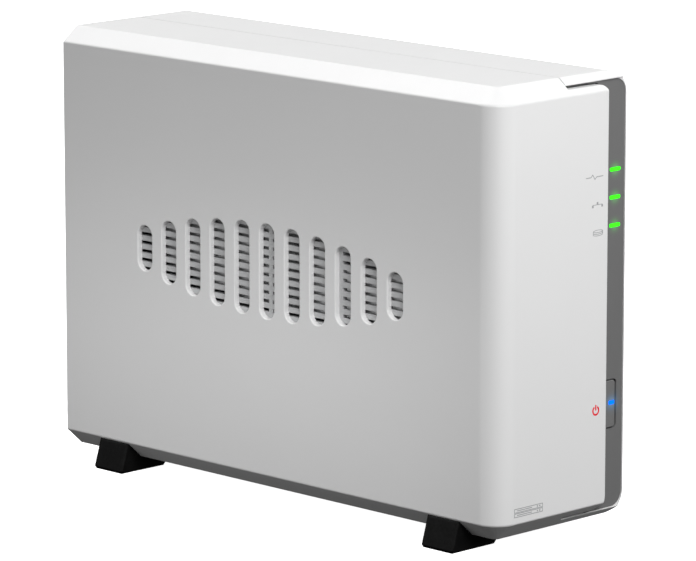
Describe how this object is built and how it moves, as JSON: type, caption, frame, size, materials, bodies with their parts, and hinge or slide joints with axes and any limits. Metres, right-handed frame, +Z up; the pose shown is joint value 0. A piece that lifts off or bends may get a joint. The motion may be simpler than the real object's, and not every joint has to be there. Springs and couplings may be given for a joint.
{
  "type": "network attached storage",
  "caption": "Upright network storage box with chamfered white case, dark light strip, side vents, splayed feet, internal disk, fan and boards.",
  "frame": {"origin": "on the plane the feet rest on, below the middle of the case", "axes": "+Z up, -Y is the front with the light strip, +X is the right side of the box"},
  "size_m": [0.0776, 0.224, 0.166],
  "materials": {
    "white_case": "fine satin moulded",
    "white_louvre": "fine satin moulded",
    "grey_strip": "satin moulded",
    "grey_button": "satin moulded",
    "green_light": "lit light pipe",
    "blue_light": "lit light pipe",
    "rear_grey": "satin moulded",
    "black_rubber": "matte",
    "zinc_steel": "zinc plated sheet",
    "screw_steel": "plated",
    "port_steel": "bright plated",
    "gold_contact": "bright",
    "board_green": "solder mask",
    "board_blue": "solder mask",
    "chip_black": "moulded epoxy",
    "connector_black": "moulded",
    "connector_white": "moulded",
    "led_body": "clear package",
    "heatsink": "extruded",
    "capacitor_can": "sleeved can",
    "coin_cell": "bright",
    "cast_aluminium": "cast",
    "lid_steel": "stamped",
    "disc_mirror": "polished",
    "machined_aluminium": "machined",
    "magnet_nickel": "nickel plated",
    "copper_winding": "enamelled wire",
    "fan_black": "moulded",
    "ribbon_grey": "flat film",
    "lead_black": "sleeved"
  },
  "bodies": {
    "base": {"right_shell": "white_case", "right_vent_louvre": "white_louvre", "front_bezel": "grey_strip", "status_light_pipe": "green_light", "lan_light_pipe": "green_light", "disk_light_pipe": "green_light", "power_switch": "connector_black", "front_board": "board_green", "front_board_screws": "screw_steel", "front_leds": "led_body", "ribbon_sockets": "connector_white", "front_ribbon": "ribbon_grey", "rear_panel": "rear_grey", "cover_screws": "screw_steel", "lock_plate": "zinc_steel", "reset_switch": "connector_black", "fan_frame": "fan_black", "fan_stator": "copper_winding", "fan_screws": "screw_steel", "fan_header": "connector_white", "fan_lead": "lead_black", "main_board": "board_green", "board_screws": "screw_steel", "processor": "chip_black", "processor_heatsink": "heatsink", "memory_chips": "chip_black", "board_capacitors": "capacitor_can", "clock_battery": "coin_cell", "lan_jack": "port_steel", "lan_contacts": "gold_contact", "usb_port_shells": "port_steel", "usb_port_tongues": "connector_black", "power_inlet": "connector_black", "riser_socket": "connector_black", "riser_board": "board_green", "drive_socket": "connector_black", "drive_tray": "zinc_steel", "tray_screws": "screw_steel", "drive_screws": "screw_steel", "drive_casting": "cast_aluminium", "drive_lid": "lid_steel", "drive_lid_screws": "screw_steel", "spindle_motor": "machined_aluminium", "actuator_pivot": "screw_steel", "drive_magnets": "magnet_nickel", "drive_board": "board_blue", "drive_connector": "connector_black", "foot_front_right": "black_rubber", "foot_rear_right": "black_rubber"},
    "cover": {"left_cover": "white_case", "left_vent_louvre": "white_louvre", "foot_front_left": "black_rubber", "foot_rear_left": "black_rubber"},
    "power_button": {"power_button": "grey_button", "power_light_lens": "blue_light"},
    "reset_button": {"reset_button": "grey_button"},
    "fan_rotor": {"fan_rotor": "fan_black"},
    "platters": {"drive_platters": "disc_mirror", "drive_hub": "machined_aluminium"},
    "actuator": {"drive_actuator": "machined_aluminium"}
  },
  "joints": [
    {"name": "cover_slide", "type": "slide", "parent": "base", "child": "cover", "axis": [0, -1, 0], "range_m": [0, 0.24]},
    {"name": "power_button_press", "type": "slide", "parent": "base", "child": "power_button", "axis": [0, 1, 0], "range_m": [0, 0.0008], "stiffness_N_per_m": 900, "springref_m": -0.0006},
    {"name": "reset_button_press", "type": "slide", "parent": "base", "child": "reset_button", "axis": [0, -1, 0], "range_m": [0, 0.0008], "stiffness_N_per_m": 900, "springref_m": -0.0006},
    {"name": "fan_spin", "type": "hinge", "parent": "base", "child": "fan_rotor", "pos_m": [0.0025, 0.101, 0.127], "axis": [0, 1, 0], "continuous": true},
    {"name": "platter_spin", "type": "hinge", "parent": "base", "child": "platters", "pos_m": [-0.016, 0.028, 0.0808], "axis": [1, 0, 0], "continuous": true},
    {"name": "actuator_swing", "type": "hinge", "parent": "base", "child": "actuator", "pos_m": [-0.016, -0.022, 0.057], "axis": [1, 0, 0], "range_deg": [0, 26]}
  ]
}
